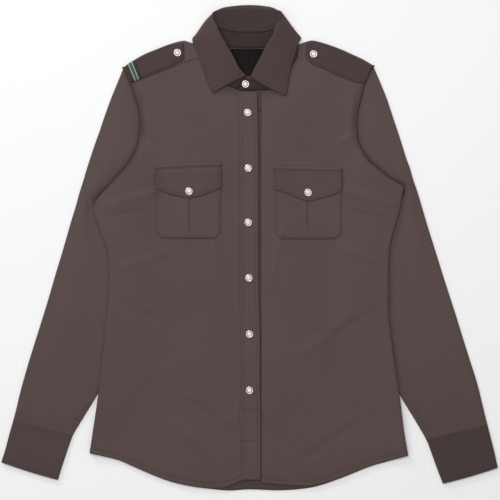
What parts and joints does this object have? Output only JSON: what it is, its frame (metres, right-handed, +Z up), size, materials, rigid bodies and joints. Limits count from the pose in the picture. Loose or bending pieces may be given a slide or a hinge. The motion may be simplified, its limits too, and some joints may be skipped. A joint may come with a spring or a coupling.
{
  "type": "long-sleeved shirt laid flat",
  "caption": "Long-sleeved military-style shirt in brownish taupe cotton, laid flat, front up, with flap pockets, epaulettes and pearl snaps.",
  "frame": {"origin": "middle of the laid-out shirt, on the surface that it lies on", "axes": "+Z up out of the shirt's front, +Y from the hem to the collar, +X towards the wearer's left sleeve"},
  "size_m": [0.814, 0.7894, 0.0179],
  "materials": {
    "taupe_cotton": "matt",
    "ribbed_band": "matt",
    "woven_label": "matt",
    "pearl_snap": "gloss"
  },
  "bodies": {
    "root": {"back": "taupe_cotton", "yoke": "taupe_cotton", "front_right": "taupe_cotton", "front_left": "taupe_cotton", "placket": "taupe_cotton", "sleeve_right": "taupe_cotton", "sleeve_left": "taupe_cotton", "cuff_right": "taupe_cotton", "cuff_left": "taupe_cotton", "collar_band": "taupe_cotton", "collar_fall": "taupe_cotton", "pocket_right": "taupe_cotton", "pocket_left": "taupe_cotton", "flap_right": "taupe_cotton", "flap_left": "taupe_cotton", "epaulette_right": "taupe_cotton", "epaulette_left": "taupe_cotton", "epaulette_band": "ribbed_band", "neck_label": "woven_label", "snap_front_1": "pearl_snap", "snap_front_2": "pearl_snap", "snap_front_3": "pearl_snap", "snap_front_4": "pearl_snap", "snap_front_5": "pearl_snap", "snap_front_6": "pearl_snap", "snap_band": "pearl_snap", "snap_flap_right": "pearl_snap", "snap_flap_left": "pearl_snap", "snap_epaulette_right": "pearl_snap", "snap_epaulette_left": "pearl_snap"}
  },
  "joints": []
}
